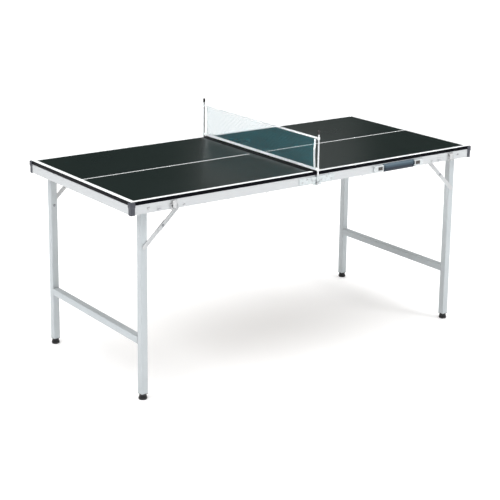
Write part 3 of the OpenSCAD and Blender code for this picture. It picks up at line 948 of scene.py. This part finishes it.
def link_stations(length):
    """(place along the strip, half width, groove depth), with round ends."""
    r, depth, fade = LINK_W / 2, 0.7 * MM, 4 * MM
    ends = [(-r * math.cos(a), r * math.sin(a), 0.0)
            for a in (math.radians(d) for d in (12, 25, 38, 51, 64, 77, 90))]
    middle = [(r, r, 0.0), (r + fade, r, depth), (length - r - fade, r, depth), (length - r, r, 0.0)]
    return ends + middle + [(length - s, w, g) for s, w, g in reversed(ends)]


def draw_link(bm, which, start):
    """An upper or lower link: a strip from its pivot at start to beyond the knee."""
    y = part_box(f"left_{which}_braces")[0].y
    along = (KNEE - start).normalized()
    across = Vector((-along.y, along.x))
    rings = []
    for s, half_w, groove in link_stations((KNEE - start).length + LINK_LAP):
        ring = []
        for u, v in strip_section(half_w, groove):
            p = start + along * s + across * u
            ring.append((p.x, y + v, p.y))
        rings.append(ring)
    loft(bm, rings)


def draw_knee(bm):
    dome(bm, KNEE, KNEE_FACE, -1, 5 * MM, 1.6 * MM)
    lathe(bm, [(KNEE_FACE, 2.5 * MM), (KNEE_FACE + LINK_T, 2.5 * MM)], KNEE, "y")


# Net

THREAD_PITCH = 5 * MM
THREAD_D = 0.8 * MM
THREAD_SIDES = 6
SEAM = 4 * MM
WEAVE = 0.27 * MM


def draw_netting(bm):
    """Crossing threads that pass over and under each other. Their ends are inside the tapes."""
    wide = 2 * (net_high.y + SEAM)
    tall = net_high.z - net_low.z + 2 * SEAM
    columns, rows = round(wide / THREAD_PITCH), round(tall / THREAD_PITCH)
    y1, z1 = -wide / 2, net_low.z - SEAM

    def threads(count, crossings, side, point):
        for i in range(count + 1):
            path = []
            for j in range(2 * crossings + 1):
                over = 0 if j % 2 else side * (1 if (i + j // 2) % 2 else -1)
                path.append(point(i / count, j / (2 * crossings), over * WEAVE))
            sweep(bm, path, THREAD_D / 2, THREAD_SIDES, capped=False)

    threads(columns, rows, 1, lambda i, j, x: (x, y1 + wide * i, z1 + tall * j))
    threads(rows, columns, -1, lambda i, j, x: (x, y1 + wide * j, z1 + tall * i))


TAPE_T = 1.6 * MM
TAPE_HEIGHTS = {"net_top_tape": 7 * MM, "net_bottom_tape": 9.5 * MM}
SLEEVE_R = POST_R + 1.3 * MM


def tape_outline():
    """A tape's plan: a flat band between two sleeves that wrap the posts."""
    half, body = TAPE_T / 2, 3 * MM
    neck = math.asin(half / SLEEVE_R)
    wrap = 2 * math.pi - neck - neck
    outline = []
    for end in (-1, 1):
        y = POST_Y * -end
        for k in range(25):
            # angle 0 points back along the tape
            a = neck + wrap * k / 24
            outline.append(Vector((SLEEVE_R * math.sin(a) * -end, y - end * SLEEVE_R * math.cos(a))))
        outline.append(Vector((half * end, y - end * (SLEEVE_R + body))))
    return outline


def stitch(bm, start, end, radius):
    """One stitch: a short thread that dips in at both ends."""
    start, end = Vector(start), Vector(end)
    rings = []
    for share, size in ((0.0, 0.3), (0.25, 1.0), (0.75, 1.0), (1.0, 0.3)):
        p = start.lerp(end, share)
        r = radius * size
        rings.append([p + Vector((a * r, 0, b * r)) for a, b in ((1, 0), (0, 1), (-1, 0), (0, -1))])
    loft(bm, rings)


def tape_piece(name, node):
    """A tape that hangs down from the top edge of its node."""
    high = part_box(node)[1].z
    return add_piece(
        name, lambda bm: prism(bm, tape_outline(), high - TAPE_HEIGHTS[node], high, edge=0.35 * MM),
        "tape", "net_set", [node],
    )


def draw_stitches(bm):
    """Rows of stitches along the top and bottom tapes, on both faces."""
    step, length, inset, radius = 3.4 * MM, 2.4 * MM, 1.6 * MM, 0.28 * MM
    reach = -POST_Y - POST_R - 5 * MM
    for node, height in TAPE_HEIGHTS.items():
        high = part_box(node)[1].z
        for z in (high - height + inset, high - inset):
            for face in (-1, 1):
                x = face * (TAPE_T / 2 + 0.05 * MM)
                for k in range(int(2 * reach / step)):
                    y = -reach + k * step
                    stitch(bm, (x, y, z), (x, y + length, z), radius)


def draw_side_tape(bm):
    """A tape at the end of the netting, bowed a little towards the middle."""
    low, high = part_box("net_side_tapes")
    y1, y2 = low.y + 1 * MM, low.y + TAPE_W - 1 * MM
    z1, z2 = low.z - 1.5 * MM, high.z + 1.5 * MM
    section = rounded(rectangle((-TAPE_T / 2, y1), (TAPE_T / 2, y2)), 0.3 * MM, 3)
    rings = []
    for share in (k / 18 for k in range(19)):
        bow = 3.4 * MM * math.sin(math.pi * share)
        rings.append([(p.x, p.y + bow, z1 + (z2 - z1) * share) for p in section])
    loft(bm, rings)


def draw_post(bm):
    z1, z2 = post_low.z, post_high.z
    profile = [(z1, 0), (z1, POST_R - 0.8 * MM), (z1 + 0.8 * MM, POST_R), (z2 - 0.5 * MM, POST_R),
               (z2, POST_R - 0.5 * MM), (z2, 0)]
    lathe(bm, profile, (0, POST_Y), "z", 28)


def draw_post_cap(bm):
    low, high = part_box("net_post_caps")
    r = POST_R + 1 * MM
    profile = [(low.z, POST_R), (low.z, r - 0.3 * MM), (low.z + 0.3 * MM, r), (low.z + 5 * MM, r),
               (low.z + 5.4 * MM, r - 0.4 * MM), (low.z + 5.8 * MM, r)]
    rise = high.z - 4.5 * MM
    profile.append((rise, r))
    for k in range(1, 8):
        a = math.pi / 2 * k / 7
        profile.append((rise + 4.5 * MM * math.sin(a), r * math.cos(a) if k < 7 else 0))
    lathe(bm, profile, (0, POST_Y), "z", 28)


# Carry handle

grip_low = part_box("grip_left_half")[0]
GRIP_HALF = 74.5 * MM
GRIP_H = 0.93 * (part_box("grip_left_half")[1].z - grip_low.z)
GRIP_BACK = FRONT_Y - 1 * MM
GRIP_FRONT = grip_low.y
STRAP_Y = pivot("grip_bow").y


def grip_ring(share, panel, x):
    """The grip's section at x. share is how full it is, and panel how far its middle swells."""
    h = GRIP_H / 2 * (0.84 + 0.16 * share)
    deep = (GRIP_BACK - GRIP_FRONT) * (0.5 + 0.5 * share)
    rim = 0.55
    swell = [(0.62, 0.775), (0.72, 0.70), (0.82, 0.58), (0.91, 0.42), (0.975, 0.22)]
    half_ring = [(0.0, 0.90), (0.15, 0.98), (0.3, 1.0), (0.45, 0.99), (0.53, 0.95), (rim, 0.90),
                 (rim, 0.81)]
    half_ring += [(rim + panel * (depth - rim), z) for depth, z in swell]
    middle = (rim + panel * (1 - rim), 0)
    ring = half_ring + [middle] + [(depth, -z) for depth, z in reversed(half_ring)]
    return [(x, GRIP_BACK - deep * depth, GRIP_Z + h * z) for depth, z in ring]


def draw_grip(bm):
    """One flexible pad with a flat strap that runs on into both end caps."""
    tip, border, slope = 3 * MM, 6 * MM, 3 * MM
    ends = [(GRIP_HALF - tip * (1 - math.cos(a)), math.sin(a), 0.0)
            for a in (math.radians(d) for d in (0, 20, 40, 65, 90))]
    ends += [(GRIP_HALF - border - slope * k / 4, 1.0, math.sin(math.pi / 2 * k / 4))
             for k in range(5)]
    rings = [grip_ring(share, panel, GRIP_X - reach) for reach, share, panel in ends]
    first = ends[-1][0]
    count = 26
    rings += [grip_ring(1.0, 1.0, GRIP_X - first + 2 * first * k / count)
              for k in range(1, count)]
    rings += [grip_ring(share, panel, GRIP_X + reach) for reach, share, panel in reversed(ends)]
    loft(bm, rings)

    def bar(half_h, x1, x2):
        section = rounded(rectangle((STRAP_Y - 1.8 * MM, GRIP_Z - half_h),
                                    (STRAP_Y + 1.8 * MM, GRIP_Z + half_h)), 0.8 * MM)
        prism(bm, section, x1, x2, "x", edge=0.4 * MM)

    low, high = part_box("grip_left_half")[0].x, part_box("grip_right_half")[1].x
    strap, head, head_t = 6 * MM, 7.2 * MM, 3.4 * MM
    bar(strap, low + MM, GRIP_X - GRIP_HALF + 3 * MM)
    bar(strap, GRIP_X + GRIP_HALF - 3 * MM, high - MM)
    bar(head, low, low + head_t)
    bar(head, high - head_t, high)


def grip_piece():
    """The grip as one piece drawn in place, standing for the two stiff halves that carry it in the
    frame.
    """
    piece = add_piece("carry_grip", draw_grip, "grip", None, ["grip_left_half", "grip_right_half"])
    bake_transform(piece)


RECESS_FROM_END = 27 * MM


def draw_insets(bm):
    """Dark soft plates at the bottom of the square recess in each end cap, their dark colour partly
    painted shade for a deeper recess.
    """
    low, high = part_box("handle_end_caps")
    for x in (low.x + RECESS_FROM_END, high.x - RECESS_FROM_END):
        outline = rounded(rectangle((x - 10.4 * MM, GRIP_Z - 6.4 * MM),
                                    (x + 10.4 * MM, GRIP_Z + 6.4 * MM)), 0.6 * MM)
        prism(bm, outline, low.y + 0.8 * MM, low.y + 1.7 * MM, "y", edge=0.3 * MM)


# Everything in place

for half in HALVES:
    board_piece(half)
    half_piece(half, "lines", draw_lines, "line", "", sides=[1])
    half_piece(half, "band", draw_band, "band", "edge_band", sides=[1])
    for side, y in SIDES.items():
        half_piece(half, side + "_rail_body", draw_side_rail, "rail_x", side + "_rail",
                   sides=[y])
        half_piece(half, side + "_leg_tube", draw_leg, "leg", side + "_leg", "legs", [y])
    half_piece(half, "end_rail_body", draw_end_rail, "rail_y", "end_rail",
               sides=[1])
    half_piece(half, "centre_rail_body", draw_centre_rail, "rail_y", "centre_rail",
               sides=[1])
    half_piece(half, "corners", draw_corner_cap, "corner", "corner_caps")
    half_piece(half, "screws", lambda bm: draw_screws(bm, SCREWS_FROM_JOINT[half]), "fastener",
               "rail_screws")
    half_piece(half, "bolts", draw_pivot_bolts, "fastener", "pivot_bolts")
    half_piece(half, "leaf_rivets", draw_leaf_rivets, "fastener", "hinge_rivets")
    for node, name, look, body, edge in (
            ("hinge_leaves", "hinge_plates", "hinge", "table", 0.3),
            ("pivot_spacers", "spacers", "hinge", "table", 0.3),
            ("latch_base", "latch_plate", "latch", "table", 0.2),
            ("latch_catch", "catch_hook", "catch", "table", 0.3),
            ("latch_lever", "latch_handle", "latch", "lever", 0.2),
            ("latch_loop", "latch_wire", "latch", "loop", 0.05)):
        softened(f"{half}_{node}", f"{half}_{name}", look, f"{half}_{body}",
                 edge * MM)
    half_piece(half, "crossbar_tube", draw_crossbar, "leg", "crossbar", "legs", [1])
    half_piece(half, "welds", draw_weld, "weld", "", "legs")
    half_piece(half, "foot_pads", draw_foot, "foot", "feet", "legs")
    half_piece(half, "studs", draw_stud, "stud", "brace_studs", "legs")
    for which, start in (("upper", BRACE_TOP), ("lower", BRACE_FOOT)):
        half_piece(half, which + "_links", lambda bm: draw_link(bm, which, start), "brace",
                   which + "_braces", which + "_links")
    half_piece(half, "knees", draw_knee, "stud", "knee_rivets", "upper_links")

front_and_back = [(1, 1), (1, -1)]
add_piece("hinge_pin_heads", draw_hinge_pin, "fastener", "left_table", ["hinge_pins"],
          front_and_back)
softened("net_sockets", "socket_brackets", "hinge", "left_table")
softened("handle_end_caps", "handle_caps", "cap", "right_table", 0.9 * MM, 3)
add_piece("handle_insets", draw_insets, "inset", "right_table", [])
grip_piece()

netting = add_piece("netting", draw_netting, "thread", "net_set", ["net_mesh"])
top_tape = tape_piece("top_tape", "net_top_tape")
bottom_tape = tape_piece("bottom_tape", "net_bottom_tape")
side_tapes = add_piece("side_tapes", draw_side_tape, "tape", "net_set", ["net_side_tapes"],
                       front_and_back)
stitches = add_piece("net_stitches", draw_stitches, "tape", "net_set", [])
add_piece("post_rods", draw_post, "post", "net_set", ["net_posts"], front_and_back)
add_piece("post_caps", draw_post_cap, "post_cap", "net_set", ["net_post_caps"],
          front_and_back)

# Studio

CAMERA_AT = Vector((-2.797, -3.757, 1.774))
CAMERA_YAW, CAMERA_DOWN, CAMERA_ROLL = (math.radians(d) for d in (36.32, 12.92, 0.74))
CAMERA_LENS = 94.1
CAMERA_SHIFT = -0.2


def make_camera():
    """The camera at the photograph's viewing angle."""
    flat = math.cos(CAMERA_DOWN)
    ahead = Vector((math.sin(CAMERA_YAW) * flat, math.cos(CAMERA_YAW) * flat,
                    -math.sin(CAMERA_DOWN)))
    right = Vector((math.cos(CAMERA_YAW), -math.sin(CAMERA_YAW), 0))
    up = right.cross(ahead)
    c, s = math.cos(CAMERA_ROLL), math.sin(CAMERA_ROLL)
    axes = Matrix((right * c + up * s, up * c - right * s, -ahead)).transposed()
    data = bpy.data.cameras.new("camera")
    data.sensor_width = 36
    data.lens = CAMERA_LENS
    data.shift_y = CAMERA_SHIFT
    data.clip_end = 100
    camera = add_object("camera", data)
    camera.matrix_world = Matrix.Translation(CAMERA_AT) @ axes.to_4x4()
    bpy.context.scene.camera = camera


def area_light(name, at, aim, size, power, spread=180):
    """A soft box. spread is how wide its beam opens, in degrees."""
    data = bpy.data.lights.new(name, "AREA")
    data.spread = math.radians(spread)
    data.shape = "RECTANGLE"
    data.size, data.size_y = size
    data.energy = power
    light = add_object(name, data)
    light.location = at
    light.rotation_mode = "QUATERNION"
    light.rotation_quaternion = (Vector(aim) - Vector(at)).to_track_quat("-Z", "Y")
    light.visible_camera = False


def make_world():
    """A bright sky overhead that darkens towards the horizon, white to the camera itself."""
    world = bpy.data.worlds.new("studio")
    world.use_nodes = True
    bpy.context.scene.world = world
    tree = world.node_tree
    tree.nodes.clear()
    place = add_node(tree, "ShaderNodeTexCoord", "Generated", {})
    up = add_node(tree, "ShaderNodeSeparateXYZ", "Z", {0: place})
    sky = add_node(tree, "ShaderNodeMapRange", "Result", {
        "Value": up, "From Min": 0.48, "From Max": 0.92, "To Min": 0.02, "To Max": 2.5})
    lit = add_node(tree, "ShaderNodeBackground", 0, {"Color": (1, 1, 1, 1), "Strength": sky})
    seen = add_node(tree, "ShaderNodeBackground", 0, {"Color": (0.98, 0.98, 0.98, 1)})
    to_camera = add_node(tree, "ShaderNodeLightPath", "Is Camera Ray", {})
    mixed = add_node(tree, "ShaderNodeMixShader", 0, {"Fac": to_camera, 1: lit, 2: seen})
    tree.links.new(mixed, tree.nodes.new("ShaderNodeOutputWorld").inputs["Surface"])


def make_floor():
    """A wide pale floor."""
    reach = 30
    corners = [(-reach, -reach, 0), (reach, -reach, 0), (reach, reach, 0), (-reach, reach, 0)]
    mesh = bpy.data.meshes.new("floor")
    mesh.from_pydata(corners, [], [(0, 1, 2, 3)])
    look = Look("floor_paint", specular=0.1)
    look.colour(look.noise(1.5), (0.93, 0.93, 0.93), (0.94, 0.94, 0.94))
    for socket, value in (("Roughness", 0.9), ("Emission Color", (1, 1, 1, 1)),
                          ("Emission Strength", 0.17)):
        look.shader.inputs[socket].default_value = value
    mesh.materials.append(look.material)
    add_object("floor", mesh)


make_camera()
make_world()
make_floor()
area_light("key", (-3.4, -0.6, 3.2), (0, 0, 0.4), (2.5, 2.0), 46)
area_light("fill", (2.3, -3.2, 2.8), (0, 0, 0.4), (1.2, 1.0), 44)
area_light("net_light", (-2.4, -0.3, 1.3), (0, 0, 0.76), (1.4, 0.15), 0.55, spread=12)
area_light("back_panel", (2.5, 3.1, 1.95), (0.05, -0.15, 0.69), (1.1, 0.7), 1.1)
bpy.context.scene.view_settings.view_transform = "Standard"
